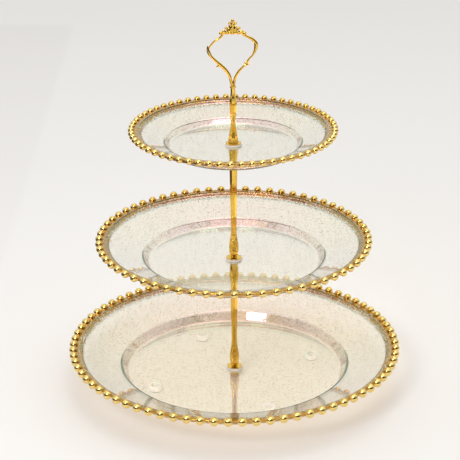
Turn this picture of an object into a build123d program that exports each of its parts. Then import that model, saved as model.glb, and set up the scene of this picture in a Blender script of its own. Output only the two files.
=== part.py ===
from build123d import *

import os
from dataclasses import dataclass
from math import hypot

# Three-tier cake stand. Millimetres, +Z up, origin on the column's axis at the table.

# --- Thread that holds the column together (M4, drawn at its major diameter) ---
THREAD_D = 4.0
THREAD_GAP = 0.05  # radial room of a turning thread in its hole
ENGAGED = 8.0  # how far a thread screws into the piece above it
THREAD_ROOM = 1.5  # hole left beyond the end of a screwed-in thread
STUD_SEAT = 8.0  # how far a stud is pressed into the rod below it
THREAD_CHAMFER = 0.5
HARDWARE_GAP = 0.3  # radial room of a thread in gaskets and washers
GLASS_GAP = 1.2  # radial room of a thread in the glass

# --- Pieces stacked on the thread at each plate ---
UPPER_GASKET_D = 17.0
UPPER_GASKET_T = 1.5
LOWER_GASKET_D = 15.0
LOWER_GASKET_T = 1.2
WASHER_D = 13.0
WASHER_T = 0.8
PETAL_WASHER_D = 15.6
PETAL_WASHER_T = 1.2
PETAL_EDGE_T = 0.6
PETAL_COUNT = 8
PETAL_R = 2.7
PETAL_FLAT = 0.68  # share of the petal washer's radius that is full height
GASKET_EDGE = 0.3  # rounding of a gasket's edges
WASHER_EDGE = 0.15  # rounding of a flat washer's edges

# --- Feet and base screw ---
FOOT_D = 12.7
FOOT_H = 6.5
FOOT_TOE_D = 10.6  # flat face that meets the table
FOOT_EDGE = 0.6  # rounding round the toe
FOOT_CIRCLE_R = 85.5
FOOT_ANGLE = 23.0
FOOT_COUNT = 4
SCREW_HEAD_D = 11.0
SCREW_HEAD_H = 2.4
SCREW_HEX_AF = 2.5
SCREW_HEX_DEPTH = 1.4
SCREW_EDGE = 1.1  # rounding of the head's outer edge

# --- Rods and handle ---
ROD_LENGTH = 110.9
STEM_LENGTH = 54.0  # from the top petal washer to the handle's collar
ROD_SIDES = 8
COLLAR_D = 5.8
COLLAR_H = 2.0
COLLAR_EDGE = 0.7

# --- Bead rim, common to the three plates ---
BAND_T = 2.4  # height of the gilded band between the beads
BAND_CENTRE_DROP = 0.8  # band's middle below the bead centres
BAND_INSET = 0.5  # band's outer edge inside the bead circle
BAND_EDGE = 1.0  # rounding of the band's outer edges
FLANGE_W = 6.5  # from the bead circle to the inner edge of the gilding
FLANGE_T = 0.9
LIP_W = 9.5  # from the bead circle to where the lip turns up
LIP_RISE_W = 2.0  # width of the upturn below the flat lip
LIP_RISE_H = 2.7  # height of that upturn
RIM_SLOPE = 0.355  # rise of the broad rim per millimetre of radius
GLASS_GRIP = 0.1  # how far the band reaches inside the beads to meet the glass edge
INSIDE_CORNER = 0.4  # radius of the sharper side of each bend in the glass
FLOOR_BEND = 2.5  # extra radius where the floor turns up
LIP_BEND = 1.5  # extra radius where the rim turns up to the lip


@dataclass(frozen=True)
class Tier:
    """One plate of the stand. Heights are above the plate's own floor."""

    name: str
    overall_d: float
    bead_d: float
    bead_count: int
    bead_turn: float  # how far the first bead is turned from +X, in bead pitches
    glass_t: float
    floor_r: float
    well_r: float
    well_h: float

    @property
    def bead_circle_r(self):
        return (self.overall_d - self.bead_d) / 2

    @property
    def turn_up_r(self):
        return self.bead_circle_r - LIP_W

    @property
    def rim_h(self):
        return self.well_h + RIM_SLOPE * (self.turn_up_r - self.well_r)

    @property
    def lip_top(self):
        return self.rim_h + LIP_RISE_H

    @property
    def flange_top(self):
        return self.lip_top + FLANGE_T

    @property
    def bead_h(self):
        return self.flange_top - BAND_T / 2 + BAND_CENTRE_DROP

    @property
    def glass_r(self):
        return self.bead_circle_r - self.bead_d / 2 - GLASS_GRIP


TIERS = [
    Tier("bottom", 330.0, 8.8, 78, 0.0, 4.0, 107.0, 112.5, 9.6),
    Tier("middle", 270.0, 7.8, 64, 0.0, 3.6, 83.5, 88.5, 7.0),
    Tier("top", 200.0, 6.5, 62, 0.22, 3.2, 61.0, 65.5, 5.2),
]

# Octagonal rod: (share of ROD_LENGTH, across-corner radius) up from its bottom end.
ROD_PROFILE = [
    (0.0, 3.4), (0.011, 3.4), (0.045, 4.5), (0.086, 5.0), (0.126, 4.7), (0.171, 3.75),
    (0.225, 3.05), (0.289, 2.9), (0.415, 3.1), (0.577, 3.5), (0.757, 3.85),
    (0.884, 4.1), (0.965, 4.0), (1.0, 3.8),
]

# Handle's stem: (share of STEM_LENGTH, across-corner radius).
STEM_PROFILE = [
    (0.0, 5.1), (0.08, 4.8), (0.19, 3.75), (0.32, 2.6), (0.40, 2.45), (0.53, 3.2),
    (0.68, 3.6), (0.78, 3.4), (0.90, 2.5), (1.0, 2.3),
]

# Scrolls of the crown loop: (x, z, radius) above the middle of the collar.
SCROLLS = {
    "left_lower": [
        (-0.7, 0.0, 1.29), (-1.7, 5.4, 1.42), (-3.0, 10.4, 1.54), (-5.6, 15.3, 1.67), (-10.0, 20.2, 1.73),
        (-15.5, 25.2, 1.48), (-20.3, 30.1, 1.42), (-22.8, 35.1, 1.54), (-23.5, 40.3, 0.6),
    ],
    "left_upper": [
        (-22.6, 36.6, 0.92), (-20.3, 41.0, 0.98), (-16.3, 45.0, 1.04), (-12.8, 47.2, 1.1),
        (-10.2, 49.6, 1.17), (-9.0, 52.3, 1.17),
    ],
    "left_leaf": [(-9.8, 20.6, 1.29), (-12.9, 20.5, 1.35), (-15.6, 19.9, 0.54)],
    "right_lower": [
        (0.6, 0.0, 1.1), (1.3, 5.4, 1.35), (2.8, 10.4, 1.42), (5.6, 15.3, 1.29), (9.6, 19.7, 1.1),
        (12.4, 21.7, 1.1), (14.6, 22.2, 0.98), (15.5, 23.7, 0.6),
    ],
    "right_middle": [
        (12.2, 21.4, 1.04), (13.4, 24.6, 1.04), (15.8, 27.9, 0.98), (18.5, 30.9, 0.98), (21.2, 35.2, 1.04),
    ],
    "right_upper": [
        (19.1, 32.8, 0.67), (20.7, 35.4, 1.42), (21.8, 39.2, 1.85), (21.4, 43.0, 1.85), (18.2, 46.5, 1.6),
        (14.0, 48.9, 1.35), (10.4, 50.7, 1.23), (8.6, 52.4, 1.23),
    ],
    "crest_arch": [
        (-11.2, 51.6, 1.17), (-5.8, 52.7, 1.29), (0.0, 52.2, 1.42), (5.8, 52.9, 1.29), (11.0, 52.4, 1.17),
    ],
    "crest_stem": [(0.0, 52.0, 1.42), (0.0, 58.0, 1.17), (0.0, 64.4, 1.04)],
}

# Right half of the crest's sprays, which the left half mirrors.
CREST_SPRAYS = [
    [(0.0, 57.8, 1.04), (1.2, 60.4, 0.98), (2.6, 62.1, 0.92)],
    [(1.9, 52.4, 1.17), (2.3, 56.6, 1.17), (3.5, 60.0, 0.67)],
    [(4.4, 52.6, 1.17), (4.8, 55.4, 1.1), (6.0, 57.4, 0.92)],
]

# Balls on the crest: (x, z, radius). The ones off the axis come in pairs.
CREST_BALLS = [(0.0, 64.5, 1.6), (2.6, 62.1, 1.48), (6.0, 57.4, 1.48), (8.4, 54.0, 1.48), (11.2, 52.4, 1.54)]


def level(index):
    """Height of a plate's floor above the table."""
    height = FOOT_H + TIERS[0].glass_t
    for tier in TIERS[1 : index + 1]:
        height += UPPER_GASKET_T + PETAL_WASHER_T + ROD_LENGTH
        height += WASHER_T + LOWER_GASKET_T + tier.glass_t
    return height


def rod_base(index):
    """Height of the bottom end of the rod or handle that stands on a plate."""
    return level(index) + UPPER_GASKET_T + PETAL_WASHER_T


def beside(points, distance):
    """The line that runs beside an open chain of points, on its right-hand side."""
    moved = []
    for i, (x, z) in enumerate(points):
        normals = []
        for a, b in ((i - 1, i), (i, i + 1)):
            if a >= 0 and b < len(points):
                dx, dz = points[b][0] - points[a][0], points[b][1] - points[a][1]
                run = hypot(dx, dz)
                normals.append((dz / run, -dx / run))
        nx = sum(n[0] for n in normals)
        nz = sum(n[1] for n in normals)
        scale = len(normals) * distance / (nx * nx + nz * nz)
        moved.append((x + nx * scale, z + nz * scale))
    return moved


def ring(outer_r, inner_r, z0, z1, edge=0.0):
    """A flat ring between two heights, with its outer edges rounded."""
    body = Cylinder(outer_r, z1 - z0, align=(Align.CENTER, Align.CENTER, Align.MIN))
    if edge:
        body = fillet(body.edges(), edge)
    bore = Cylinder(inner_r, z1 - z0, align=(Align.CENTER, Align.CENTER, Align.MIN))
    return Pos(0, 0, z0) * (body - bore)


def glass_plate(tier, floor_z):
    """Clear plate: flat floor, short steep riser, broad sloping rim and a flat lip."""
    top = [
        (THREAD_D / 2 + GLASS_GAP, 0.0),
        (tier.floor_r, 0.0),
        (tier.well_r, tier.well_h),
        (tier.turn_up_r, tier.rim_h),
        (tier.turn_up_r + LIP_RISE_W, tier.lip_top),
        (tier.glass_r, tier.lip_top),
    ]
    under = beside(top, tier.glass_t)
    floor_bend = INSIDE_CORNER + FLOOR_BEND
    lip_bend = INSIDE_CORNER + LIP_BEND
    edge_bend = INSIDE_CORNER + tier.glass_t / 2
    top_radii = [floor_bend, INSIDE_CORNER + tier.glass_t, lip_bend, edge_bend]
    under_radii = [floor_bend + tier.glass_t, INSIDE_CORNER, lip_bend + tier.glass_t / 2, INSIDE_CORNER]
    with BuildPart() as plate:
        with BuildSketch(Plane.XZ):
            with BuildLine():
                FilletPolyline(*top, radius=top_radii)
                Line(top[-1], under[-1])
                FilletPolyline(*under, radius=under_radii)
                Line(under[0], top[0])
            make_face()
        revolve(axis=Axis.Z)
    return Pos(0, 0, floor_z) * plate.part


def bead_rim(tier, floor_z):
    """Gilded rim: a flanged band that laps over the glass lip, with a ring of beads."""
    circle_r = tier.bead_circle_r
    band_bottom = tier.flange_top - BAND_T
    outline = [
        (circle_r - FLANGE_W, tier.flange_top),
        (circle_r - BAND_INSET, tier.flange_top),
        (circle_r - BAND_INSET, band_bottom),
        (tier.glass_r, band_bottom),
        (tier.glass_r, tier.lip_top),
        (circle_r - FLANGE_W, tier.lip_top),
    ]
    with BuildPart() as rim:
        with BuildSketch(Plane.XZ) as section:
            with BuildLine():
                Polyline(*outline, close=True)
            make_face()
            outer = section.vertices().sort_by(Axis.X)[-2:]
            fillet(outer, BAND_EDGE)
        revolve(axis=Axis.Z)
        with PolarLocations(circle_r, tier.bead_count, start_angle=tier.bead_turn * 360 / tier.bead_count):
            with Locations((0, 0, tier.bead_h)):
                Sphere(tier.bead_d / 2)
    return Pos(0, 0, floor_z) * rim.part


def foot(index):
    """Soft clear bumper stuck under the bottom plate, tapered to a flat toe."""
    angle = FOOT_ANGLE + index * 360 / FOOT_COUNT
    body = Cone(FOOT_TOE_D / 2 + FOOT_EDGE, FOOT_D / 2, FOOT_H, align=(Align.CENTER, Align.CENTER, Align.MIN))
    body = fillet(body.edges().sort_by(Axis.Z)[0], FOOT_EDGE)
    return Rot(0, 0, angle) * Pos(FOOT_CIRCLE_R, 0, 0) * body


def upper_gasket(index):
    """Thick clear gasket between the glass floor and the petal washer."""
    z = level(index)
    return ring(UPPER_GASKET_D / 2, THREAD_D / 2 + HARDWARE_GAP, z, z + UPPER_GASKET_T, GASKET_EDGE)


def lower_gasket(index):
    """Thin clear gasket under the glass."""
    z = level(index) - TIERS[index].glass_t
    return ring(LOWER_GASKET_D / 2, THREAD_D / 2 + HARDWARE_GAP, z - LOWER_GASKET_T, z, GASKET_EDGE)


def lower_washer(index):
    """Flat metal washer under the lower gasket."""
    z = level(index) - TIERS[index].glass_t - LOWER_GASKET_T
    return ring(WASHER_D / 2, THREAD_D / 2 + HARDWARE_GAP, z - WASHER_T, z, WASHER_EDGE)


def petal_washer(index):
    """Scalloped metal washer, thick at the middle and thin at the petals' edges."""
    reach = PETAL_WASHER_D / 2
    with BuildPart() as washer:
        with BuildSketch():
            Circle(reach - PETAL_R)
            with PolarLocations(reach - PETAL_R, PETAL_COUNT):
                Circle(PETAL_R)
        extrude(amount=PETAL_WASHER_T)
        with BuildSketch(Plane.XZ):
            with BuildLine():
                Polyline(
                    (0, 0),
                    (reach, 0),
                    (reach, PETAL_EDGE_T),
                    (reach * PETAL_FLAT, PETAL_WASHER_T),
                    (0, PETAL_WASHER_T),
                    close=True,
                )
            make_face()
        revolve(axis=Axis.Z, mode=Mode.INTERSECT)
        Hole(THREAD_D / 2 + HARDWARE_GAP)
    return Pos(0, 0, level(index) + UPPER_GASKET_T) * washer.part


def thread_rod(z0, z1):
    """A length of the M4 thread, chamfered at its top end."""
    body = Cylinder(THREAD_D / 2, z1 - z0, align=(Align.CENTER, Align.CENTER, Align.MIN))
    return Pos(0, 0, z0) * chamfer(body.edges().sort_by(Axis.Z)[-1], THREAD_CHAMFER)


def base_screw():
    """Low-headed screw that clamps the bottom plate to the lower rod."""
    head_top = FOOT_H - LOWER_GASKET_T - WASHER_T
    head = Cylinder(SCREW_HEAD_D / 2, SCREW_HEAD_H, align=(Align.CENTER, Align.CENTER, Align.MAX))
    head = fillet(head.edges().sort_by(Axis.Z)[0], SCREW_EDGE)
    socket = extrude(RegularPolygon(SCREW_HEX_AF / 2, 6, major_radius=False), SCREW_HEX_DEPTH)
    head = Pos(0, 0, head_top) * (head - Pos(0, 0, -SCREW_HEAD_H) * socket)
    return head + thread_rod(head_top, rod_base(0) + ENGAGED)


def threaded_hole(depth_from):
    """Blind hole for the thread below, opening downwards at a piece's bottom end."""
    length = ENGAGED + THREAD_ROOM
    hole = Cylinder(THREAD_D / 2 + THREAD_GAP, length, align=(Align.CENTER, Align.CENTER, Align.MIN))
    return Pos(0, 0, depth_from) * hole


def faceted_bar(profile, length):
    """An octagonal bar through the given shares of its length and across-corner radii."""
    sections = []
    for share, radius in profile:
        outline = Rot(0, 0, 180 / ROD_SIDES) * RegularPolygon(radius, ROD_SIDES)
        sections.append(Pos(0, 0, share * length) * outline)
    return loft(sections)


def rod(index):
    """Baluster rod between two plates, with a thread hole below and a stud seat above."""
    z = rod_base(index)
    body = Pos(0, 0, z) * faceted_bar(ROD_PROFILE, ROD_LENGTH)
    seat = Cylinder(THREAD_D / 2, STUD_SEAT, align=(Align.CENTER, Align.CENTER, Align.MAX))
    return body - threaded_hole(z) - Pos(0, 0, z + ROD_LENGTH) * seat


def rod_stud(index):
    """Stud pressed into a rod's top end, up through the plate above."""
    z = rod_base(index) + ROD_LENGTH
    return thread_rod(z - STUD_SEAT, rod_base(index + 1) + ENGAGED)


def scroll(points):
    """A round bar that swells and narrows along a curve in the XZ plane."""
    path = Spline(*[(x, 0, z) for x, z, _ in points])
    last = len(points) - 1
    sections = []
    for half_step in range(2 * last + 1):
        low = min(half_step // 2, last - 1)
        share = half_step / 2 - low
        radius = points[low][2] * (1 - share) + points[low + 1][2] * share
        sections.append(Plane(path.location_at(half_step / (2 * last))) * Circle(radius))
    return loft(sections)


def crown_loop():
    """Solids of the open rococo loop and its leafy crest, above the middle of the collar."""
    bars = list(SCROLLS.values())
    balls = []
    for side in (-1, 1):
        bars += [[(side * x, z, radius) for x, z, radius in spray] for spray in CREST_SPRAYS]
        balls += [Pos(side * x, 0, z) * Sphere(radius) for x, z, radius in CREST_BALLS if x or side > 0]
    return [scroll(points) for points in bars] + balls


def crown_handle():
    """Cast handle in one piece: flared stem, collar, loop and crest."""
    z = rod_base(len(TIERS) - 1)
    body = faceted_bar(STEM_PROFILE, STEM_LENGTH)
    collar = Cylinder(COLLAR_D / 2, COLLAR_H, align=(Align.CENTER, Align.CENTER, Align.MIN))
    body += Pos(0, 0, STEM_LENGTH) * fillet(collar.edges(), COLLAR_EDGE)
    for piece in crown_loop():
        body += Pos(0, 0, STEM_LENGTH + COLLAR_H / 2) * piece
    return Pos(0, 0, z) * body - threaded_hole(z)


def nodes():
    """Every piece of the stand by its node name."""
    made = {"base_screw": base_screw(), "crown_handle": crown_handle()}
    for index, tier in enumerate(TIERS):
        z = level(index)
        made[f"{tier.name}_plate"] = glass_plate(tier, z)
        made[f"{tier.name}_bead_rim"] = bead_rim(tier, z)
        made[f"{tier.name}_upper_gasket"] = upper_gasket(index)
        made[f"{tier.name}_lower_gasket"] = lower_gasket(index)
        made[f"{tier.name}_petal_washer"] = petal_washer(index)
        made[f"{tier.name}_lower_washer"] = lower_washer(index)
    for index, name in enumerate(("lower_rod", "middle_rod")):
        made[name] = rod(index)
        made[f"{name}_stud"] = rod_stud(index)
    for index in range(FOOT_COUNT):
        made[f"foot_{index + 1}"] = foot(index)
    return made


def main():
    os.makedirs("parts", exist_ok=True)
    for name, shape in nodes().items():
        export_step(shape, f"parts/{name}.step")


main()
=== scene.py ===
"""Three-tier cake stand: lustred glass plates with gilded bead rims on a gold plated column."""

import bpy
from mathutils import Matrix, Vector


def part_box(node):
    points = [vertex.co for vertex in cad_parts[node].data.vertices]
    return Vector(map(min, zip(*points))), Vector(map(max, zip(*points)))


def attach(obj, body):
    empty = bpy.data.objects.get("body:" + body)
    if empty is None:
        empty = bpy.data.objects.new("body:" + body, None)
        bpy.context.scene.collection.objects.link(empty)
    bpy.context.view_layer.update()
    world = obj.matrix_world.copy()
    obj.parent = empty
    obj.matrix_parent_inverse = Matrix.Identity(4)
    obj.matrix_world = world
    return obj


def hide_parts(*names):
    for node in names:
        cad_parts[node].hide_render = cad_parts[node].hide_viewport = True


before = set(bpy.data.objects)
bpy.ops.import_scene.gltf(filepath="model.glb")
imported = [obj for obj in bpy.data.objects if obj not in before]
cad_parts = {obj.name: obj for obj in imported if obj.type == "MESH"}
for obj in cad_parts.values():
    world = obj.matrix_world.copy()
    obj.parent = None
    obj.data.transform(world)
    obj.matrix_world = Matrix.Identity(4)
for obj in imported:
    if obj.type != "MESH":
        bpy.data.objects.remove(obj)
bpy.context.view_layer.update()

import logging
from dataclasses import dataclass, field
from enum import Enum
from math import cos, hypot, pi, radians, sin, tan
from typing import Callable, Sequence

import bpy
from mathutils import Matrix, Vector

MM = 0.001
UP = (0.0, 0.0, 1.0)
MERGE = 0.0004 * MM  # vertices nearer than this are one
SMOOTH_ANGLE = radians(32)  # sharper edges than this stay crisp
EDGE_ANGLE = radians(30)  # sharper edges than this are rounded on a bar
PETAL_ANGLE = radians(50)  # sharper edges than this stay crisp on a petal washer
BEAD_FIT = 0.999  # a bead keeps this share of its size, so that facets stay inside the solid bead

log = logging.getLogger("cake_stand")

Point = tuple[float, float]
Station = tuple[float, float, float]
Select = Callable[[Vector], bool]


class Slot(Enum):
    """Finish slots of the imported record."""

    GOLD_PLATE = "gold_plate"
    LUSTRE_GLASS = "lustre_glass"
    GILDED_GLASS = "gilded_glass"
    CLEAR_SILICONE = "clear_silicone"


class TierName(Enum):
    """The three plates, from the table up."""

    BOTTOM = "bottom"
    MIDDLE = "middle"
    TOP = "top"


# ---------------------------------------------------------------- colour and shader nodes


def colour(code: str) -> tuple[float, float, float, float]:
    """Turns an sRGB hex colour to linear.

    Args:
        code: The colour as "#RRGGBB".

    Returns:
        Linear red, green and blue, and an alpha of 1.
    """
    channels = [int(code[i : i + 2], 16) / 255 for i in (1, 3, 5)]
    linear = [c / 12.92 if c <= 0.04045 else ((c + 0.055) / 1.055) ** 2.4 for c in channels]
    return (linear[0], linear[1], linear[2], 1.0)


def add_node(
    tree: bpy.types.NodeTree, kind: str, settings: dict | None = None, **inputs: object
) -> bpy.types.Node:
    """Adds a shader node.

    Args:
        tree: The material's node tree.
        kind: The shader node's type, such as "Bump".
        settings: The node's own properties.
        **inputs: For each input, by name with _ for a space or as _N for input N: a value, a hex colour,
            an output socket, or a node whose first output is meant.

    Returns:
        The new node.
    """
    node = tree.nodes.new("ShaderNode" + kind)
    for name, value in (settings or {}).items():
        setattr(node, name, value)
    for name, value in inputs.items():
        key = int(name[1:]) if name[0] == "_" else name.replace("_", " ")
        if isinstance(value, bpy.types.Node):
            value = value.outputs[0]
        if isinstance(value, bpy.types.NodeSocket):
            tree.links.new(value, node.inputs[key])
        else:
            node.inputs[key].default_value = colour(value) if isinstance(value, str) else value
    return node


def new_material(name: str) -> tuple[bpy.types.Material, bpy.types.NodeTree, bpy.types.NodeSocket]:
    """Makes an empty node material.

    Args:
        name: The material's name.

    Returns:
        The material, its node tree and its Object coordinates.
    """
    material = bpy.data.materials.new(name)
    material.use_nodes = True
    tree = material.node_tree
    tree.nodes.clear()
    return material, tree, add_node(tree, "TexCoord").outputs["Object"]


def light_shadow(tree: bpy.types.NodeTree, surface: bpy.types.Node, tint: str) -> None:
    """Ends a glass material so that it casts only a light, tinted shadow.

    Args:
        tree: The material's node tree.
        surface: The finished shader.
        tint: The shadow's sRGB hex colour.
    """
    shadow = add_node(tree, "BsdfTransparent", Color=tint)
    ray = add_node(tree, "LightPath")
    lit = add_node(tree, "MixShader", _0=ray.outputs["Is Shadow Ray"], _1=surface, _2=shadow)
    add_node(tree, "OutputMaterial", _0=lit)


# ---------------------------------------------------------------- finishes


@dataclass(frozen=True)
class GoldPlate:
    """Bright gold plating over polished zinc: a warm mirror with a faint cast ripple."""

    name: str = "bright_gold_plating"
    light: str = "#F8D56A"
    deep: str = "#DDAE40"
    polish: float = 0.04
    wear: float = 0.13
    tone_mm: float = 9.0
    rub_mm: float = 2.2
    ripple_mm: float = 1.6
    ripple_depth_mm: float = 0.012

    def build(self) -> bpy.types.Material:
        """Makes the material: tone and polish drift slowly, and the surface ripples a little."""
        material, tree, place = new_material(self.name)
        tone = add_node(tree, "TexNoise", Vector=place, Scale=1 / (self.tone_mm * MM), Detail=3.0)
        shade = add_node(tree, "Mix", {"data_type": "RGBA"}, _0=tone, _6=self.light, _7=self.deep)
        rub = add_node(tree, "TexNoise", Vector=place, Scale=1 / (self.rub_mm * MM), Detail=4.0)
        rough = add_node(tree, "MapRange", Value=rub, _1=0.35, _2=0.75, _3=self.polish, _4=self.wear)
        grain = add_node(tree, "TexNoise", Vector=place, Scale=1 / (self.ripple_mm * MM), Detail=2.0)
        bump = add_node(tree, "Bump", Height=grain, Strength=0.35, Distance=self.ripple_depth_mm * MM)
        metal = add_node(
            tree, "BsdfPrincipled", Base_Color=shade.outputs[2], Metallic=1.0, Roughness=rough, Normal=bump,
        )
        add_node(tree, "OutputMaterial", _0=metal)
        return material


@dataclass(frozen=True)
class LustreGlass:
    """Pressed soda glass with a lustre film and gold flecks: clear, but half a mirror at a low angle."""

    name: str = "lustred_soda_glass"
    tint: str = "#FEFBF6"
    film: str = "#FFF6EA"
    fleck: str = "#A87F3C"
    ior: float = 1.46
    film_nm: float = 460.0
    film_ior: float = 1.7
    mirror: float = 0.21  # extra reflection of the sprayed film, seen square on
    fleck_mm: float = 1.15  # pitch of the flecks, drawn coarser than the real 0.3 mm so that they show
    fleck_share: float = 0.30  # how far a fleck reaches across its cell
    flat_density: float = 0.24
    steep_density: float = 1.0
    flat_rise: float = 0.97  # upward share of the normal on a flat floor
    steep_rise: float = 0.60
    ring_mm: float = 160.0  # radius of the bead circle
    gilt: str = "#E6BC66"
    umber: str = "#A97A36"
    blot_mm: float = 1.6
    gilt_from_mm: float = 11.0  # how far inside the bead circle the gilding starts
    gilt_to_mm: float = 7.0
    gilt_least: float = 0.30
    gilt_most: float = 0.53

    def mirrored(self, tree: bpy.types.NodeTree) -> bpy.types.Node:
        """Adds the glass that bends light and the film that mirrors it."""
        glass = add_node(
            tree, "BsdfPrincipled", Base_Color=self.tint, Roughness=0.01, IOR=self.ior,
            Transmission_Weight=1.0, Thin_Film_Thickness=self.film_nm, Thin_Film_IOR=self.film_ior,
        )
        film = add_node(tree, "BsdfGlossy", Color=self.film, Roughness=0.02)
        return add_node(tree, "MixShader", _0=self.mirror, _1=glass, _2=film)

    def gilding(
        self, tree: bpy.types.NodeTree, place: bpy.types.NodeSocket, glass: bpy.types.Node
    ) -> bpy.types.Node:
        """Adds blots of gold leaf that thicken towards the bead circle.

        Args:
            tree: The material's node tree.
            place: Object coordinates.
            glass: The shader under the leaf.

        Returns:
            The gilded shader.
        """
        flat = add_node(tree, "VectorMath", {"operation": "MULTIPLY"}, _0=place, _1=(1.0, 1.0, 0.0))
        reach = add_node(tree, "VectorMath", {"operation": "LENGTH"}, _0=flat)
        cover = add_node(
            tree, "MapRange", Value=reach.outputs["Value"], _1=(self.ring_mm - self.gilt_from_mm) * MM,
            _2=(self.ring_mm - self.gilt_to_mm) * MM, _3=self.gilt_least, _4=self.gilt_most,
        )
        blot = add_node(tree, "TexNoise", Vector=place, Scale=1 / (self.blot_mm * MM), Detail=2.0)
        leaf = add_node(tree, "Math", {"operation": "LESS_THAN"}, _0=blot, _1=cover)
        depth = add_node(tree, "TexNoise", Vector=place, Scale=2.4 / (self.blot_mm * MM), Detail=2.0)
        share = add_node(tree, "MapRange", Value=depth, _1=0.38, _2=0.62)
        tone = add_node(tree, "Mix", {"data_type": "RGBA"}, _0=share, _6=self.gilt, _7=self.umber)
        gold = add_node(tree, "BsdfPrincipled", Base_Color=tone.outputs[2], Metallic=1.0, Roughness=0.18)
        return add_node(tree, "MixShader", _0=leaf, _1=glass, _2=gold)

    def build(self) -> bpy.types.Material:
        """Makes the material: filmed glass, flecks of gold that crowd on steep walls, and light shadows."""
        material, tree, place = new_material(self.name)
        flake = add_node(tree, "BsdfPrincipled", Base_Color=self.fleck, Metallic=1.0, Roughness=0.35)
        cells = add_node(tree, "TexVoronoi", Vector=place, Scale=1 / (self.fleck_mm * MM), Randomness=1.0)
        spot = add_node(
            tree, "Math", {"operation": "LESS_THAN"}, _0=cells.outputs["Distance"], _1=self.fleck_share
        )
        lean = add_node(tree, "SeparateXYZ", Vector=place.node.outputs["Normal"])
        upright = add_node(tree, "Math", {"operation": "ABSOLUTE"}, _0=lean.outputs[2])
        density = add_node(
            tree, "MapRange", Value=upright, _1=self.flat_rise, _2=self.steep_rise, _3=self.flat_density,
            _4=self.steep_density,
        )
        draw = add_node(tree, "SeparateColor", Color=cells.outputs["Color"])
        chosen = add_node(tree, "Math", {"operation": "LESS_THAN"}, _0=draw, _1=density)
        flecks = add_node(tree, "Math", {"operation": "MULTIPLY"}, _0=spot, _1=chosen)
        flecked = add_node(tree, "MixShader", _0=flecks, _1=self.mirrored(tree), _2=flake)
        light_shadow(tree, self.gilding(tree, place, flecked), "#F8F3EB")
        return material


@dataclass(frozen=True)
class GiltBand(LustreGlass):
    """Rim glass gilded from below: mottled amber, solid beside the beads and thinner away from them."""

    name: str = "mottled_gilt_band"
    gilt_from_mm: float = 6.6
    gilt_to_mm: float = 1.2
    gilt_least: float = 0.47
    gilt_most: float = 0.66

    def build(self) -> bpy.types.Material:
        """Makes the material: gold leaf over the lustred glass."""
        material, tree, place = new_material(self.name)
        light_shadow(tree, self.gilding(tree, place, self.mirrored(tree)), "#EFE0C4")
        return material


@dataclass(frozen=True)
class GildedGlass:
    """Glass beads gilded on the outside: bright gold outside, amber where gold is seen through glass."""

    name: str = "gilded_glass_beads"
    outside: str = "#F8DC8A"
    inside: str = "#E0B560"
    crevice: str = "#8A5A1C"
    blotch_mm: float = 2.4
    turn: float = 0.25  # how far round towards the plate the bright gilding reaches

    def build(self) -> bpy.types.Material:
        """Makes the material: gold outside turns to amber on the side towards the column."""
        material, tree, place = new_material(self.name)
        flat = add_node(tree, "VectorMath", {"operation": "MULTIPLY"}, _0=place, _1=(1.0, 1.0, 0.0))
        outward = add_node(tree, "VectorMath", {"operation": "NORMALIZE"}, _0=flat)
        facing = add_node(
            tree, "VectorMath", {"operation": "DOT_PRODUCT"}, _0=outward, _1=place.node.outputs["Normal"],
        )
        side = add_node(
            tree, "MapRange", Value=facing.outputs["Value"], _1=-self.turn - 0.3, _2=-self.turn + 0.2
        )
        shade = add_node(tree, "Mix", {"data_type": "RGBA"}, _0=side, _6=self.inside, _7=self.outside)
        blotch = add_node(tree, "TexNoise", Vector=place, Scale=1 / (self.blotch_mm * MM), Detail=3.0)
        fade = add_node(tree, "MapRange", Value=blotch, _1=0.45, _2=0.75, _3=0.0, _4=0.3)
        worn = add_node(tree, "Mix", {"data_type": "RGBA"}, _0=fade, _6=shade.outputs[2], _7=self.crevice)
        rough = add_node(tree, "MapRange", Value=blotch, _1=0.3, _2=0.7, _3=0.07, _4=0.15)
        bead = add_node(tree, "BsdfPrincipled", Base_Color=worn.outputs[2], Metallic=1.0, Roughness=rough)
        add_node(tree, "OutputMaterial", _0=bead)
        return material


@dataclass(frozen=True)
class ClearNylon:
    """Moulded natural nylon: milky, softly glossy, lit through by scattering."""

    name: str = "natural_nylon"
    tone: str = "#F4F1EA"

    def build(self) -> bpy.types.Material:
        """Makes the material: subsurface white with a fine moulded grain."""
        material, tree, place = new_material(self.name)
        grain = add_node(tree, "TexNoise", Vector=place, Scale=1 / (0.6 * MM), Detail=3.0)
        bump = add_node(tree, "Bump", Height=grain, Strength=0.2, Distance=0.02 * MM)
        rough = add_node(tree, "MapRange", Value=grain, _1=0.3, _2=0.7, _3=0.22, _4=0.38)
        nylon = add_node(
            tree, "BsdfPrincipled", Base_Color=self.tone, Roughness=rough, IOR=1.53, Subsurface_Weight=0.6,
            Subsurface_Radius=(1.0, 0.95, 0.85), Subsurface_Scale=1.2 * MM, Transmission_Weight=0.25,
            Normal=bump,
        )
        add_node(tree, "OutputMaterial", _0=nylon)
        return material


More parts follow.
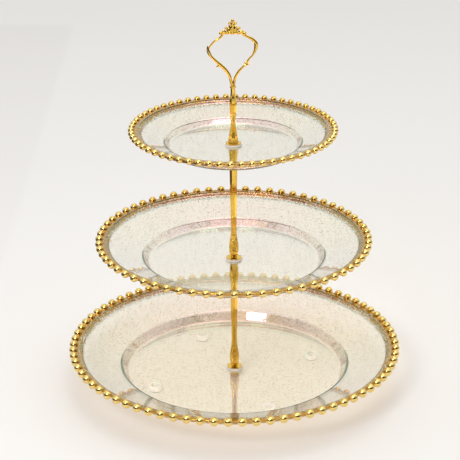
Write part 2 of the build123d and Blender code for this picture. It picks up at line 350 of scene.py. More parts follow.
@dataclass(frozen=True)
class ClearSilicone:
    """Clear cast silicone: soft gloss, faintly milky at its thick edge."""

    name: str = "clear_silicone"
    tone: str = "#FFFFFF"
    web_mm: float = 0.8  # thickness up to which the rubber looks clear

    def build(self) -> bpy.types.Material:
        """Makes the material: hazy clear rubber with light shadows."""
        material, tree, place = new_material(self.name)
        haze = add_node(tree, "TexNoise", Vector=place, Scale=1 / (3.0 * MM), Detail=2.0)
        axes = add_node(tree, "SeparateXYZ", Vector=place)
        clear = add_node(
            tree, "MapRange", Value=axes.outputs[2], _1=self.web_mm * MM, _2=2 * self.web_mm * MM, _3=0.9,
            _4=0.05,
        )
        rough = add_node(tree, "MapRange", Value=haze, _1=0.3, _2=0.7, _3=0.12, _4=0.25)
        rubber = add_node(
            tree, "BsdfPrincipled", Base_Color=self.tone, Roughness=rough, IOR=1.41,
            Transmission_Weight=clear, Subsurface_Weight=0.4, Subsurface_Scale=1.0 * MM,
        )
        add_node(tree, "OutputMaterial", _0=rubber)
        return material


@dataclass(frozen=True)
class StudioPaper:
    """Matt pale paper under the stand."""

    name: str = "pale_studio_paper"
    light: str = "#EDEBE8"
    dark: str = "#E8E6E3"

    def build(self) -> bpy.types.Material:
        """Makes the material: even and matt, with a slow drift of tone."""
        material, tree, place = new_material(self.name)
        drift = add_node(tree, "TexNoise", Vector=place, Scale=2.0, Detail=2.0)
        tone = add_node(tree, "Mix", {"data_type": "RGBA"}, _0=drift, _6=self.light, _7=self.dark)
        paper = add_node(tree, "BsdfPrincipled", Base_Color=tone.outputs[2], Roughness=0.75)
        add_node(tree, "OutputMaterial", _0=paper)
        return material


# ---------------------------------------------------------------- modelling by hand


def deselect_all() -> None:
    """Leaves no object selected, in object mode."""
    if bpy.context.object and bpy.context.object.mode != "OBJECT":
        bpy.ops.object.mode_set(mode="OBJECT")
    bpy.ops.object.select_all(action="DESELECT")


def make_active(piece: bpy.types.Object) -> None:
    """Selects one object alone and makes it the active one."""
    deselect_all()
    piece.select_set(True)
    bpy.context.view_layer.objects.active = piece


def named(name: str) -> bpy.types.Object:
    """Names the object that an operator just added, and its mesh."""
    piece = bpy.context.object
    piece.name = name
    piece.data.name = name
    return piece


def settle(piece: bpy.types.Object) -> bpy.types.Object:
    """Puts a finished piece's place into its mesh, so that its object sits unturned at the origin."""
    make_active(piece)
    bpy.ops.object.transform_apply(location=True, rotation=True, scale=True)
    return piece


def edit_all() -> None:
    """Opens the active piece's mesh with all of it selected."""
    bpy.ops.object.mode_set(mode="EDIT")
    bpy.ops.mesh.select_all(action="SELECT")


def weld() -> None:
    """Merges vertices of the open mesh that share a place."""
    bpy.ops.mesh.select_all(action="SELECT")
    bpy.ops.mesh.remove_doubles(threshold=MERGE)


def close_mesh() -> None:
    """Turns the open mesh's faces outwards and leaves edit mode."""
    bpy.ops.mesh.select_all(action="SELECT")
    bpy.ops.mesh.normals_make_consistent(inside=False)
    bpy.ops.object.mode_set(mode="OBJECT")


def extrude(x: float, z: float) -> None:
    """Extrudes the selection by millimetres."""
    bpy.ops.mesh.extrude_region_move(TRANSFORM_OT_translate={"value": (x * MM, 0, z * MM)})


def select_vertices(piece: bpy.types.Object, chosen: Select) -> None:
    """Selects a mesh's vertices by their place and leaves edit mode on.

    Args:
        piece: The object, in edit mode.
        chosen: True for a vertex at that place in metres.
    """
    bpy.ops.mesh.select_all(action="DESELECT")
    bpy.ops.object.mode_set(mode="OBJECT")
    for vertex in piece.data.vertices:
        vertex.select = chosen(vertex.co)
    bpy.ops.object.mode_set(mode="EDIT")


def apply_modifier(piece: bpy.types.Object, kind: str, settings: dict) -> None:
    """Adds a modifier, sets it and applies it.

    Args:
        piece: The object.
        kind: The modifier's type, such as "BEVEL".
        settings: The modifier's properties.
    """
    make_active(piece)
    bpy.ops.object.modifier_add(type=kind)
    modifier = piece.modifiers[-1]
    for name, value in settings.items():
        setattr(modifier, name, value)
    bpy.ops.object.modifier_apply(modifier=modifier.name)


def smooth(piece: bpy.types.Object, angle: float = SMOOTH_ANGLE) -> None:
    """Shades a piece smooth, apart from edges sharper than an angle."""
    make_active(piece)
    bpy.ops.object.shade_smooth_by_angle(angle=angle)
    apply_modifier(piece, "WEIGHTED_NORMAL", {"keep_sharp": True, "weight": 80})


def soften(bar: bpy.types.Object, width: float) -> None:
    """Rounds a bar's long edges by a width in millimetres, and shades it smooth."""
    edges = {"width": width * MM, "segments": 2, "limit_method": "ANGLE", "angle_limit": EDGE_ANGLE}
    apply_modifier(bar, "BEVEL", edges)
    smooth(bar)


def join(name: str, pieces: Sequence[bpy.types.Object]) -> bpy.types.Object:
    """Joins pieces into one object.

    Args:
        name: The joined object's name.
        pieces: The objects to join.

    Returns:
        The joined object.
    """
    make_active(pieces[0])
    for piece in pieces[1:]:
        piece.select_set(True)
    if len(pieces) > 1:
        bpy.ops.object.join()
    return named(name)


def rounded(corners: Sequence[Station], closed: bool = False, steps: int = 5) -> list[Point]:
    """Rounds an outline's corners with arcs.

    Args:
        corners: Each corner as (x, z, radius), in millimetres.
        closed: Whether the last corner joins the first.
        steps: Straight pieces in each arc.

    Returns:
        The outline's points.
    """
    outline: list[Point] = []
    count = len(corners)
    for i, (x, z, radius) in enumerate(corners):
        here = Vector((x, z))
        if radius <= 0 or (not closed and i in (0, count - 1)):
            outline.append((x, z))
            continue
        before = (Vector(corners[i - 1][:2]) - here).normalized()
        after = (Vector(corners[(i + 1) % count][:2]) - here).normalized()
        half = before.angle(after) / 2
        reach = radius / tan(half)
        centre = here + (before + after).normalized() * (radius / sin(half))
        start = here + before * reach - centre
        sweep = start.angle_signed(here + after * reach - centre)
        for step in range(steps + 1):
            spoke = start.copy()
            spoke.rotate(Matrix.Rotation(-sweep * step / steps, 2))
            outline.append(tuple(centre + spoke))
    return outline


def lathe(name: str, outline: Sequence[Point], steps: int = 96, closed: bool = True) -> bpy.types.Object:
    """Turns an outline about the Z axis.

    Args:
        name: The new object's name.
        outline: Points as (radius, height) in millimetres.
        steps: Flats round the axis.
        closed: Whether the outline is a loop; an open one starts and ends on the axis.

    Returns:
        The turned piece, a closed surface.
    """
    deselect_all()
    x, z = outline[0]
    bpy.ops.mesh.primitive_plane_add(size=MM, location=(x * MM, 0, z * MM))
    piece = named(name)
    settle(piece)
    edit_all()
    bpy.ops.mesh.merge(type="CENTER")
    path = list(outline[1:]) + ([outline[0]] if closed else [])
    for next_x, next_z in path:
        extrude(next_x - x, next_z - z)
        x, z = next_x, next_z
    weld()
    bpy.ops.mesh.spin(steps=steps, angle=2 * pi, center=(0, 0, 0), axis=UP)
    weld()
    close_mesh()
    return piece


def shift(piece: bpy.types.Object, x: float = 0.0, y: float = 0.0, z: float = 0.0) -> None:
    """Moves a piece's mesh by millimetres, leaving its object at the origin."""
    make_active(piece)
    bpy.ops.transform.translate(value=(x * MM, y * MM, z * MM))
    settle(piece)


def eased(stations: Sequence[tuple[float, ...]], parts: int) -> list[tuple[float, ...]]:
    """Runs a smooth curve through stations.

    Args:
        stations: Points of any dimension.
        parts: Steps from each station to the next.

    Returns:
        The stations and the points between them, on a Catmull-Rom curve.
    """
    ends = [stations[0], *stations, stations[-1]]
    curve: list[tuple[float, ...]] = []
    for i in range(len(stations) - 1):
        a, b, c, d = ends[i : i + 4]
        for step in range(parts):
            t = step / parts
            curve.append(
                tuple(
                    0.5
                    * (2 * q + (r - p) * t + (2 * p - 5 * q + 4 * r - s) * t**2
                       + (3 * q - p - 3 * r + s) * t**3)
                    for p, q, r, s in zip(a, b, c, d)
                )
            )
    curve.append(tuple(stations[-1]))
    return curve


def extruded_bar(name: str, stations: Sequence[Station], sides: int) -> bpy.types.Object:
    """Extrudes a polygon along a curve in the XZ plane, turning and sizing it at each station.

    Args:
        name: The new object's name.
        stations: (x, z, radius) along the curve, in millimetres.
        sides: The polygon's sides.

    Returns:
        The bar, closed at both ends.
    """
    turns = []
    for i in range(len(stations)):
        ahead = stations[min(i + 1, len(stations) - 1)]
        behind = stations[max(i - 1, 0)]
        turns.append(Vector((ahead[1] - behind[1], ahead[0] - behind[0])).normalized())
    deselect_all()
    x, z, radius = stations[0]
    bpy.ops.mesh.primitive_circle_add(
        vertices=sides, radius=radius * MM, fill_type="NGON", location=(x * MM, 0, z * MM),
        rotation=(0, Vector((1, 0)).angle_signed(turns[0]) * -1, pi / sides),
    )
    piece = named(name)
    settle(piece)
    edit_all()
    for i in range(1, len(stations)):
        next_x, next_z, next_radius = stations[i]
        extrude(next_x - x, next_z - z)
        centre = (next_x * MM, 0, next_z * MM)
        bend = -turns[i - 1].angle_signed(turns[i])
        bpy.ops.transform.rotate(value=-bend, orient_axis="Y", center_override=centre)
        scale = next_radius / radius
        bpy.ops.transform.resize(value=(scale, scale, scale), center_override=centre)
        x, z, radius = next_x, next_z, next_radius
    close_mesh()
    return piece


def fit(piece: bpy.types.Object, material: bpy.types.Material, slot: Slot, body: str, *nodes: str) -> None:
    """Dresses a piece, rides it on a body in place of CAD nodes, and reports it.

    Args:
        piece: The finished piece.
        material: Its finish.
        slot: The record's slot for that finish; not used.
        body: The body that it moves with.
        *nodes: The CAD nodes that it stands for.
    """
    piece.data.materials.clear()
    piece.data.materials.append(material)
    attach(piece, body)
    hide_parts(*nodes)
    log.info("%s: %d faces on %s, for %s", piece.name, len(piece.data.polygons), body, ", ".join(nodes))


# ---------------------------------------------------------------- the column


@dataclass
class Thread:
    """M4 thread: a core with a helical ridge."""

    major_d: float = 4.0
    pitch: float = 0.7
    depth: float = 0.36
    tip: float = 0.5

    def build(self, name: str, low: float, high: float) -> bpy.types.Object:
        """Makes a length of thread on the Z axis.

        Args:
            name: The new object's name.
            low: Height of its bottom end, in millimetres.
            high: Height of its chamfered top end.

        Returns:
            The thread.
        """
        crest = self.major_d / 2
        root = crest - self.depth
        core = lathe(
            name + "_core",
            [(0, low), (root, low), (root, high - self.tip), (root - self.tip / 2, high), (0, high)],
            steps=24, closed=False,
        )
        deselect_all()
        bpy.ops.mesh.primitive_circle_add(vertices=3, radius=self.pitch / 2 * MM, rotation=(pi / 2, 0, 0))
        ridge = named(name + "_ridge")
        corners = [(crest, 0.5), (root - 0.05, 0.02), (root - 0.05, 0.98)]
        for vertex, (x, share) in zip(ridge.data.vertices, corners):
            vertex.co = (x * MM, 0, 0)
            vertex.co.y = (low + share * self.pitch) * MM
        settle(ridge)
        turns = int((high - self.tip - low) / self.pitch) - 1
        apply_modifier(
            ridge, "SCREW",
            {
                "angle": 2 * pi, "screw_offset": self.pitch * MM, "iterations": turns,
                "steps": 24, "render_steps": 24,
            },
        )
        bpy.ops.object.mode_set(mode="EDIT")
        weld()
        bpy.ops.mesh.fill_holes(sides=3)
        close_mesh()
        piece = join(name, [core, ridge])
        smooth(piece)
        return piece


@dataclass
class Column:
    """The rods, their studs and the base screw that clamp the plates."""

    gold: bpy.types.Material
    rod_sides: int = 8
    rod_profile: tuple[Point, ...] = (
        (0.0, 3.4), (0.011, 3.4), (0.045, 4.5), (0.086, 5.0), (0.126, 4.7), (0.171, 3.75),
        (0.225, 3.05), (0.289, 2.9), (0.415, 3.1), (0.577, 3.5), (0.757, 3.85),
        (0.884, 4.1), (0.965, 4.0), (1.0, 3.8),
    )
    hole_r: float = 2.05
    hole_depth: float = 9.5
    head_d: float = 11.0
    head_h: float = 2.4
    head_edge: float = 1.1
    hex_across: float = 2.5
    hex_depth: float = 1.4
    thread: Thread = field(default_factory=Thread)

    def build(self) -> None:
        """Makes and fits every piece of the column."""
        for body in ("lower_rod", "middle_rod"):
            self.build_rod(body)
            self.build_stud(body)
        self.build_base_screw()

    def build_rod(self, body: str) -> None:
        """Makes a baluster rod: eight long flats, with a thread hole bored up its bottom end."""
        low, high = (corner.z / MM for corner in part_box(body))
        length = high - low
        stations = [(0.0, low + share * length, radius) for share, radius in eased(self.rod_profile, 4)]
        rod = extruded_bar(body + "_baluster", stations, self.rod_sides)
        self.bore(rod, low)
        soften(rod, 0.16)
        fit(rod, self.gold, Slot.GOLD_PLATE, body, body)

    def bore(self, piece: bpy.types.Object, low: float) -> None:
        """Bores the blind thread hole up from a piece's bottom face.

        Args:
            piece: A bar that stands on a polygon face.
            low: Height of that face, in millimetres.
        """
        make_active(piece)
        bpy.ops.object.mode_set(mode="EDIT")
        bpy.ops.mesh.select_mode(type="FACE")
        bpy.ops.mesh.select_all(action="DESELECT")
        bpy.ops.object.mode_set(mode="OBJECT")
        for face in piece.data.polygons:
            face.select = face.normal.z < -0.9 and abs(face.center.z - low * MM) < MERGE * 10
        bpy.ops.object.mode_set(mode="EDIT")
        side = hypot(*piece.data.vertices[0].co.xy) / MM
        bpy.ops.mesh.inset(thickness=(side * cos(pi / self.rod_sides) - self.hole_r) * MM)
        extrude(0, self.hole_depth)
        bpy.ops.mesh.select_mode(type="VERT")
        bpy.ops.object.mode_set(mode="OBJECT")

    def build_stud(self, body: str) -> None:
        """Makes the stud that is pressed into a rod's top end."""
        node = body + "_stud"
        low, high = (corner.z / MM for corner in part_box(node))
        stud = self.thread.build(node + "_thread", low, high)
        fit(stud, self.gold, Slot.GOLD_PLATE, body, node)

    def build_base_screw(self) -> None:
        """Makes the low-headed base screw with its hexagon socket."""
        low, high = (corner.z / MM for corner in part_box("base_screw"))
        reach = self.head_d / 2
        top = low + self.head_h
        outline = rounded([(0, top, 0), (reach, top, 0.2), (reach, low, self.head_edge), (0, low, 0)])
        head = lathe("base_screw_head", outline, steps=64, closed=False)
        deselect_all()
        bpy.ops.mesh.primitive_cylinder_add(
            vertices=6, radius=self.hex_across / 2 / cos(pi / 6) * MM, depth=2 * self.hex_depth * MM,
            location=(0, 0, low * MM),
        )
        key = named("hex_key")
        apply_modifier(head, "BOOLEAN", {"operation": "DIFFERENCE", "object": key, "solver": "EXACT"})
        bpy.data.objects.remove(key)
        screw = join(
            "base_screw_with_thread", [head, self.thread.build("base_screw_thread", top - 0.2, high)]
        )
        smooth(screw)
        fit(screw, self.gold, Slot.GOLD_PLATE, "base_screw", "base_screw")


# ---------------------------------------------------------------- the plates


@dataclass
class PlateTier:
    """One plate with its bead rim, gaskets and washers."""

    name: TierName
    body: str
    petal_body: str
    clamp_body: str
    gilding: bpy.types.Material
    gold: bpy.types.Material
    nylon: bpy.types.Material
    bead_d: float
    bead_count: int
    bead_turn: float
    glass_t: float
    floor_r: float
    well_r: float
    well_h: float
    hole_r: float = 3.2
    washer_hole_r: float = 2.3
    glass_grip: float = 0.1  # how far the beads stand off the glass edge
    edge: float = 0.3
    inside_corner: float = 0.4  # radius of the sharper side of each bend
    floor_bend: float = 2.9
    lip_bend: float = 1.9
    lip_w: float = 9.5
    lip_rise_w: float = 2.0
    lip_rise_h: float = 2.7
    flange_w: float = 6.5
    flange_t: float = 0.9
    band_t: float = 2.4
    gilt_t: float = 1.8  # height of the gilded strip between the beads
    band_inset: float = 0.5
    band_drop: float = 0.8
    petals: int = 8
    petal_steps: int = 8  # vertices round each petal
    petal_t: float = 0.45

    @property
    def floor_z(self) -> float:
        """Height of the plate's floor above the table, in millimetres."""
        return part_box(self.node("plate"))[0].z / MM + self.glass_t

    @property
    def glass_r(self) -> float:
        """Radius of the glass, in millimetres."""
        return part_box(self.node("plate"))[1].x / MM

    @property
    def lip_top(self) -> float:
        """Height of the glass lip above the floor."""
        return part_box(self.node("plate"))[1].z / MM - self.floor_z

    @property
    def bead_circle_r(self) -> float:
        """Radius of the circle through the beads' centres."""
        return self.glass_r + self.bead_d / 2 + self.glass_grip

    @property
    def bead_h(self) -> float:
        """Height of the beads' centres above the floor."""
        return self.lip_top + self.flange_t - self.band_t / 2 + self.band_drop

    def node(self, piece: str) -> str:
        """Gives a CAD node's name on this tier."""
        return f"{self.name.value}_{piece}"

    def build(self) -> None:
        """Makes and fits the tier's pieces, and dresses those that the frame already has."""
        self.build_plate()
        self.build_bead_rim()
        self.build_petal_washer()
        self.build_lower_washer()
        for gasket in ("upper_gasket", "lower_gasket"):
            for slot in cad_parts[self.node(gasket)].material_slots:
                slot.material = self.nylon
            log.info("%s: nylon ring", self.node(gasket))

    def build_plate(self) -> None:
        """Turns the pressed glass plate, with even walls round every bend."""
        turn_up = self.bead_circle_r - self.lip_w
        rim_h = self.lip_top - self.lip_rise_h
        thick, corner = self.glass_t, self.inside_corner
        top = [
            (self.hole_r, 0.0, 0.0), (self.floor_r, 0.0, self.floor_bend),
            (self.well_r, self.well_h, thick + corner),
            (turn_up, rim_h, self.lip_bend), (turn_up + self.lip_rise_w, self.lip_top, thick / 2 + corner),
            (self.glass_r, self.lip_top, self.edge),
        ]
        under = self.beside([bend[:2] for bend in top], thick)
        radii = (self.edge, thick + self.floor_bend, corner, thick / 2 + self.lip_bend, corner, self.edge)
        loop = top + [(x, z, radius) for (x, z), radius in zip(reversed(under), reversed(radii))]
        loop[0] = (self.hole_r, 0.0, self.edge)
        outline = [(x, z + self.floor_z) for x, z in rounded(loop, closed=True, steps=6)]
        plate = lathe(self.node("glass_plate"), outline, steps=192)
        smooth(plate)
        film = LustreGlass(name=self.node("lustred_glass"), ring_mm=self.bead_circle_r)
        fit(plate, film.build(), Slot.LUSTRE_GLASS, self.body, self.node("plate"))

    def beside(self, corners: Sequence[Point], distance: float) -> list[Point]:
        """Gives the line that runs below an outline at an even distance.

        Args:
            corners: The outline's corners, from the column outwards.
            distance: How far below, square to each run.

        Returns:
            As many corners, in the same order.
        """
        moved = []
        for i, (x, z) in enumerate(corners):
            normal = Vector((0, 0))
            runs = 0
            for a, b in ((i - 1, i), (i, i + 1)):
                if a >= 0 and b < len(corners):
                    run = (Vector(corners[b]) - Vector(corners[a])).normalized()
                    normal += Vector((run.y, -run.x))
                    runs += 1
            moved.append(tuple(Vector((x, z)) + normal * (runs * distance / normal.length_squared)))
        return moved

    def build_bead_rim(self) -> None:
        """Makes the gilded band and the ring of glass beads fused to it."""
        ring = self.bead_circle_r
        top = self.lip_top + self.flange_t
        inner = ring - self.flange_w
        band = rounded(
            [
                (inner, top, 0.35), (ring - self.band_inset, top, 0.8),
                (ring - self.band_inset, top - self.gilt_t, 0.8), (self.glass_r, top - self.gilt_t, 0.0),
                (self.glass_r, self.lip_top, 0.0), (inner, self.lip_top, 0.2),
            ],
            closed=True,
        )
        outline = [(x, z + self.floor_z) for x, z in band]
        strip = lathe(self.node("gilded_band"), outline, steps=240)
        smooth(strip)
        leaf = GiltBand(name=self.node("mottled_gilt_band"), ring_mm=ring).build()
        fit(strip, leaf, Slot.GILDED_GLASS, self.body, self.node("bead_rim"))
        turn = self.bead_turn * 2 * pi / self.bead_count
        place = Matrix.Rotation(turn, 3, "Z") @ Vector((ring * MM, 0, (self.floor_z + self.bead_h) * MM))
        deselect_all()
        reach = self.bead_d / 2 * MM * BEAD_FIT
        bpy.ops.mesh.primitive_uv_sphere_add(
            segments=20, ring_count=12, radius=reach, location=place, rotation=(0, 0, turn)
        )
        beads = named(self.node("glass_beads"))
        settle(beads)
        bpy.ops.object.shade_smooth()
        edit_all()
        bpy.ops.mesh.spin(
            steps=self.bead_count - 1, dupli=True, angle=2 * pi * (self.bead_count - 1) / self.bead_count,
            center=(0, 0, 0), axis=UP,
        )
        bpy.ops.object.mode_set(mode="OBJECT")
        fit(beads, self.gilding, Slot.GILDED_GLASS, self.body, self.node("bead_rim"))

    def build_petal_washer(self) -> None:
        """Presses the flower-shaped washer: cupped petals with dips between them."""
        low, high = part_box(self.node("petal_washer"))
        height = (high.z - low.z) / MM
        reach = high.x / MM
        rings = [
            (self.washer_hole_r, height), (3.9, height), (5.1, height * 0.86), (6.3, height * 0.55),
            (reach, height * 0.66),
        ]
        deselect_all()
        bpy.ops.mesh.primitive_circle_add(
            vertices=self.petals * self.petal_steps, radius=rings[0][0] * MM,
            location=(0, 0, low.z + rings[0][1] * MM)
        )
        washer = named(self.node("petal_flower"))
        settle(washer)
        edit_all()
        for (radius, z), (next_radius, next_z) in zip(rings, rings[1:]):
            extrude(0, next_z - z)
            scale = next_radius / radius
            bpy.ops.transform.resize(value=(scale, scale, 1), center_override=(0, 0, 0))
        for dip, share in ((0, 0.82), (1, 0.94)):
            select_vertices(washer, lambda co, dip=dip: self.in_dip(co, rings[-2][0], dip))
            bpy.ops.transform.resize(value=(share, share, 1), center_override=(0, 0, 0))
        close_mesh()
        apply_modifier(washer, "SOLIDIFY", {"thickness": self.petal_t * MM, "offset": -1.0})
        apply_modifier(washer, "SUBSURF", {"levels": 1, "render_levels": 1})
        smooth(washer, PETAL_ANGLE)
        fit(washer, self.gold, Slot.GOLD_PLATE, self.petal_body, self.node("petal_washer"))

    def in_dip(self, co: Vector, beyond: float, dip: int) -> bool:
        """Tells whether a vertex lies in a dip between petals, that many vertices from its middle."""
        if hypot(co.x, co.y) < (beyond + 0.3) * MM:
            return False
        step = Vector((1, 0)).angle_signed(co.xy) / (2 * pi) * self.petals * self.petal_steps
        half = self.petal_steps / 2
        return round(abs((step + half) % self.petal_steps - half)) == dip

    def build_lower_washer(self) -> None:
        """Turns the flat washer under the plate, with its edges broken."""
        low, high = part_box(self.node("lower_washer"))
        bottom, top, reach = low.z / MM, high.z / MM, high.x / MM
        hole = self.washer_hole_r
        corners = [(hole, bottom, 0.1), (hole, top, 0.1), (reach, top, 0.25), (reach, bottom, 0.25)]
        outline = rounded(corners, closed=True)
        washer = lathe(self.node("flat_washer"), outline, steps=64)
        smooth(washer)
        fit(washer, self.gold, Slot.GOLD_PLATE, self.clamp_body, self.node("lower_washer"))


# ---------------------------------------------------------------- the handle


@dataclass
class CrownHandle:
    """Cast handle: a faceted stem, a collar, an open loop of scrolls and a leafy crown."""

    gold: bpy.types.Material
    column: Column
    stem_length: float = 54.0
    stem_profile: tuple[Point, ...] = (
        (0.0, 5.1), (0.08, 4.8), (0.19, 3.75), (0.32, 2.6), (0.40, 2.45), (0.53, 3.2),
        (0.68, 3.6), (0.78, 3.4), (0.90, 2.5), (1.0, 2.3),
    )
    collar_h: float = 2.0
    collar_d: float = 5.8
    scrolls: tuple[tuple[Station, ...], ...] = (
        ((-0.7, 0.0, 1.27), (-1.7, 5.4, 1.4), (-3.0, 10.4, 1.52), (-5.6, 15.3, 1.65), (-10.0, 20.2, 1.71),
         (-15.5, 25.2, 1.46), (-20.3, 30.1, 1.4), (-22.8, 35.1, 1.52), (-23.5, 40.3, 0.46)),
        ((-22.6, 36.6, 0.77), (-20.3, 41.0, 0.9), (-16.3, 45.0, 1.02), (-12.8, 47.2, 1.08),
         (-10.2, 49.6, 1.15),
         (-9.0, 52.3, 1.02)),
        ((-8.6, 19.6, 0.9), (-11.0, 20.9, 1.27), (-13.4, 20.6, 1.08), (-15.6, 19.9, 0.52)),
        ((-9.6, 20.6, 0.77), (-11.6, 22.2, 1.27), (-13.4, 22.4, 0.65)),
        ((0.6, 0.0, 1.08), (1.3, 5.4, 1.33), (2.8, 10.4, 1.4), (5.6, 15.3, 1.27), (9.6, 19.7, 1.08),
         (12.4, 21.7, 1.08), (14.6, 22.2, 0.96), (15.5, 23.7, 0.52)),
        ((12.2, 21.4, 0.9), (13.4, 24.6, 1.02), (15.8, 27.9, 0.96), (18.5, 30.9, 0.96), (21.2, 35.2, 1.02)),
        ((13.6, 23.6, 1.02), (11.9, 23.9, 0.96), (10.4, 23.2, 0.46)),
        ((19.1, 32.8, 0.65), (20.7, 35.4, 1.4), (21.8, 39.2, 1.83), (21.4, 43.0, 1.83), (18.2, 46.5, 1.58),
         (14.0, 48.9, 1.33), (10.4, 50.7, 1.21), (8.6, 52.4, 1.15)),
        ((-11.2, 51.6, 1.02), (-8.4, 52.9, 1.27), (-5.4, 52.2, 1.27), (-2.6, 53.1, 1.27), (0.0, 52.0, 1.4),
         (2.6, 53.1, 1.27), (5.4, 52.4, 1.27), (8.4, 53.0, 1.27), (11.0, 52.4, 1.02)),
        ((0.0, 52.0, 1.4), (0.0, 55.5, 1.27), (0.0, 59.5, 1.02), (0.0, 64.4, 0.9)),
    )
    sprays: tuple[tuple[Station, ...], ...] = (
        ((0.0, 57.6, 0.77), (1.1, 60.2, 0.96), (2.6, 62.1, 0.9)),
        ((1.5, 52.4, 1.02), (1.9, 55.6, 1.4), (2.7, 58.2, 1.15), (3.6, 60.4, 0.46)),
        ((4.2, 52.6, 1.02), (4.4, 55.0, 1.27), (5.3, 56.8, 1.02), (6.0, 57.4, 0.9)),
        ((6.6, 52.6, 1.1), (7.2, 54.0, 1.27), (8.6, 55.6, 0.52)),
    )
    balls: tuple[Station, ...] = (
        (0.0, 64.5, 1.58), (2.6, 62.1, 1.4), (6.0, 57.4, 1.46), (8.6, 54.2, 1.46), (11.2, 52.4, 1.58),
    )
    scroll_sides: int = 12
    depth_share: float = 0.85
    casting_mm: float = 0.22

    @property
    def base_z(self) -> float:
        """Height of the handle's foot above the table, in millimetres."""
        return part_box("crown_handle")[0].z / MM

    def build(self) -> None:
        """Makes and fits the stem, the collar and the loop."""
        self.build_stem()
        self.build_loop()

    def build_stem(self) -> None:
        """Makes the flared eight-sided stem and its collar."""
        stations = [
            (0.0, self.base_z + share * self.stem_length, radius)
            for share, radius in eased(self.stem_profile, 5)
        ]
        stem = extruded_bar("handle_stem_bar", stations, self.column.rod_sides)
        self.column.bore(stem, self.base_z)
        soften(stem, 0.14)
        low = self.base_z + self.stem_length
        reach = self.collar_d / 2
        outline = rounded(
            [
                (0, low, 0), (reach * 0.8, low, 0.1), (reach, low + 0.4, 0.35),
                (reach, low + self.collar_h - 0.4, 0.35), (reach * 0.8, low + self.collar_h, 0.1),
                (0, low + self.collar_h, 0),
            ]
        )
        collar = lathe("handle_collar", outline, steps=48, closed=False)
        smooth(collar)
        piece = join("handle_stem_and_collar", [stem, collar])
        fit(piece, self.gold, Slot.GOLD_PLATE, "handle", "crown_handle")

    def build_loop(self) -> None:
        """Makes the scrolls, leaves and balls, and casts them into one skin."""
        lift = self.base_z + self.stem_length + self.collar_h / 2
        bars = list(self.scrolls)
        beads = []
        for side in (-1, 1):
            bars += [tuple((side * x, z, radius) for x, z, radius in spray) for spray in self.sprays]
            beads += [(side * x, z, radius) for x, z, radius in self.balls if x or side > 0]
        pieces = []
        for i, bar in enumerate(bars):
            stations = [(x, z + lift, max(radius, 0.2)) for x, z, radius in eased(bar, 5)]
            pieces.append(self.fluted(extruded_bar(f"scroll_{i}", stations, self.scroll_sides)))
        for i, (x, z, radius) in enumerate(beads):
            deselect_all()
            bpy.ops.mesh.primitive_ico_sphere_add(
                subdivisions=3, radius=radius * MM, location=(x * MM, 0, (z + lift) * MM)
            )
            pieces.append(settle(named(f"crown_ball_{i}")))
        loop = join("crown_loop_casting", pieces)
        apply_modifier(loop, "REMESH", {"mode": "VOXEL", "voxel_size": self.casting_mm * MM})
        apply_modifier(loop, "SMOOTH", {"factor": 0.5, "iterations": 4})
        make_active(loop)
        bpy.ops.object.shade_smooth()
        fit(loop, self.gold, Slot.GOLD_PLATE, "handle", "crown_handle")

    def fluted(self, bar: bpy.types.Object) -> bpy.types.Object:
        """Flattens a scroll a little from front to back."""
        make_active(bar)
        bpy.ops.transform.resize(value=(1, self.depth_share, 1), center_override=(0, 0, 0))
        return settle(bar)


# ---------------------------------------------------------------- the feet


@dataclass
class Feet:
    """Clear bumpers stuck under the bottom plate."""

    silicone: bpy.types.Material
    count: int = 4
    toe_d: float = 10.6
    edge: float = 0.6
    well_d: float = 8.8
    web_h: float = 0.6

    def build(self) -> None:
        """Turns each bumper, a soft ring with a thin web across its toe, and sets it under the plate."""
        for i in range(1, self.count + 1):
            node = f"foot_{i}"
            low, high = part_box(node)
            height = (high.z - low.z) / MM
            reach = (high.x - low.x) / 2 / MM
            toe = self.toe_d / 2 + self.edge
            outline = rounded(
                [
                    (0, 0, 0), (toe, 0, self.edge), (reach, height, 0.4), (self.well_d / 2, height, 0.4),
                    (self.well_d / 2 - 0.6, self.web_h, 0.3), (0, self.web_h, 0),
                ]
            )
            foot = lathe(node + "_bumper", outline, steps=48, closed=False)
            middle = (low + high) / 2 / MM
            shift(foot, middle.x, middle.y, low.z / MM)
            smooth(foot)
            fit(foot, self.silicone, Slot.CLEAR_SILICONE, "bottom_tier", node)


# ---------------------------------------------------------------- the studio


@dataclass
class Softbox:
    """A rectangular light that looks at the stand."""

    name: str
    place: Station
    size: tuple[float, float]
    watts: float
    tone: str = "#FFFFFF"
    aim: Station = (0.0, 0.0, 0.15)

    def build(self) -> None:
        """Adds the light, in metres and watts."""
        deselect_all()
        look = (Vector(self.aim) - Vector(self.place)).to_track_quat("-Z", "Y")
        bpy.ops.object.light_add(type="AREA", location=self.place, rotation=look.to_euler())
        lamp = bpy.context.object
        lamp.name = self.name
        lamp.data.shape = "RECTANGLE"
        lamp.data.size, lamp.data.size_y = self.size
        lamp.data.energy = self.watts
        lamp.data.color = colour(self.tone)[:3]


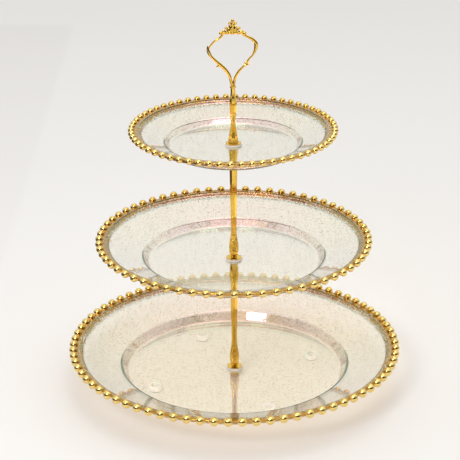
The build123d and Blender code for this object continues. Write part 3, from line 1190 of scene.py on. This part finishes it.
@dataclass
class Studio:
    """Pale paper floor, soft light and the camera."""

    paper: bpy.types.Material
    camera_place: Station = (-0.00366, -1.5272, 0.8001)
    camera_down: float = 22.729
    camera_roll: float = -0.382
    lens: float = 133.05
    sky: tuple[tuple[float, str], ...] = (
        (0.00, "#3A2A1C"), (0.34, "#46362A"), (0.48, "#A79C90"), (0.62, "#F2F2F2"), (1.00, "#FFFFFF"),
    )
    sky_strength: float = 0.90
    back_share: float = 0.5  # how much the back wall counts against height
    flag_x: Point = (-2.4, -0.27)
    flag_depth: float = 2.6
    flag_lift: float = 0.002
    flag_tone: str = "#4A3420"
    lights: tuple[Softbox, ...] = (
        Softbox("key_softbox", (-0.78, -1.6, 1.45), (0.75, 0.5), 18.0),
        Softbox("top_softbox", (0.3, -0.2, 2.6), (2.0, 2.0), 17.0),
    )

    def build(self) -> None:
        """Sets the floor, the world, the lights and the camera."""
        deselect_all()
        bpy.ops.mesh.primitive_plane_add(size=14.0)
        floor = named("studio_floor")
        floor.data.materials.append(self.paper)
        self.build_sky()
        self.build_flag()
        for light in self.lights:
            light.build()
        tilt = Matrix.Rotation(radians(90 - self.camera_down), 4, "X") @ Matrix.Rotation(
            radians(self.camera_roll), 4, "Z"
        )
        deselect_all()
        bpy.ops.object.camera_add(location=self.camera_place, rotation=tilt.to_euler())
        camera = bpy.context.object
        camera.data.lens = self.lens
        camera.data.sensor_width = 36.0
        camera.data.clip_end = 50.0
        bpy.context.scene.camera = camera
        bpy.context.scene.view_settings.view_transform = "Standard"
        log.info("studio: floor, %d lights and camera", len(self.lights))

    def build_flag(self) -> None:
        """Lays a dark card on the left, out of frame, that only the reflections in the metal show."""
        deselect_all()
        left, right = self.flag_x
        bpy.ops.mesh.primitive_plane_add(size=1.0, location=((left + right) / 2, 0, self.flag_lift))
        flag = named("reflection_flag")
        flag.scale = (right - left, self.flag_depth, 1.0)
        settle(flag)
        for ray in ("camera", "diffuse", "transmission", "shadow"):
            setattr(flag, f"visible_{ray}", False)
        flag.data.materials.append(StudioPaper("dark_flag_card", self.flag_tone, self.flag_tone).build())

    def build_sky(self) -> None:
        """Makes the surroundings: a bright back wall and ceiling, and a dark room low in front."""
        world = bpy.data.worlds.new("studio_world")
        world.use_nodes = True
        tree = world.node_tree
        look = add_node(tree, "TexCoord").outputs["Generated"]
        axes = add_node(tree, "SeparateXYZ", Vector=look)
        back = add_node(tree, "Math", {"operation": "MULTIPLY"}, _0=axes.outputs[1], _1=self.back_share)
        height = add_node(tree, "Math", {"operation": "ADD"}, _0=axes.outputs[2], _1=back)
        share = add_node(tree, "MapRange", Value=height, _1=-self.back_share, _2=1.0)
        ramp = add_node(tree, "ValToRGB", _0=share)
        stops = ramp.color_ramp.elements
        stops[0].position, stops[1].position = self.sky[0][0], self.sky[-1][0]
        stops[0].color, stops[1].color = colour(self.sky[0][1]), colour(self.sky[-1][1])
        for place, tone in self.sky[1:-1]:
            stops.new(place).color = colour(tone)
        background = tree.nodes["Background"]
        tree.links.new(ramp.outputs[0], background.inputs[0])
        background.inputs[1].default_value = self.sky_strength
        bpy.context.scene.world = world


def main() -> None:
    """Builds the stand's sub-assemblies and the studio."""
    logging.basicConfig(level=logging.INFO, format="%(message)s")
    gold = GoldPlate().build()
    gilding = GildedGlass().build()
    nylon = ClearNylon().build()
    finishes = (gilding, gold, nylon)
    Studio(StudioPaper().build()).build()
    column = Column(gold)
    column.build()
    tiers = (
        PlateTier(
            TierName.BOTTOM, "bottom_tier", "bottom_petal", "base_screw", *finishes,
            8.8, 78, 0.0, 4.0, 107.0, 112.5, 9.6,
        ),
        PlateTier(
            TierName.MIDDLE, "middle_tier", "middle_petal", "lower_rod", *finishes,
            7.8, 64, 0.0, 3.6, 83.5, 88.5, 7.0,
        ),
        PlateTier(
            TierName.TOP, "top_tier", "top_petal", "middle_rod", *finishes,
            6.5, 62, 0.22, 3.2, 61.0, 65.5, 5.2,
        ),
    )
    for tier in tiers:
        tier.build()
    CrownHandle(gold, column).build()
    Feet(ClearSilicone().build()).build()


if __name__ == "__main__":
    main()
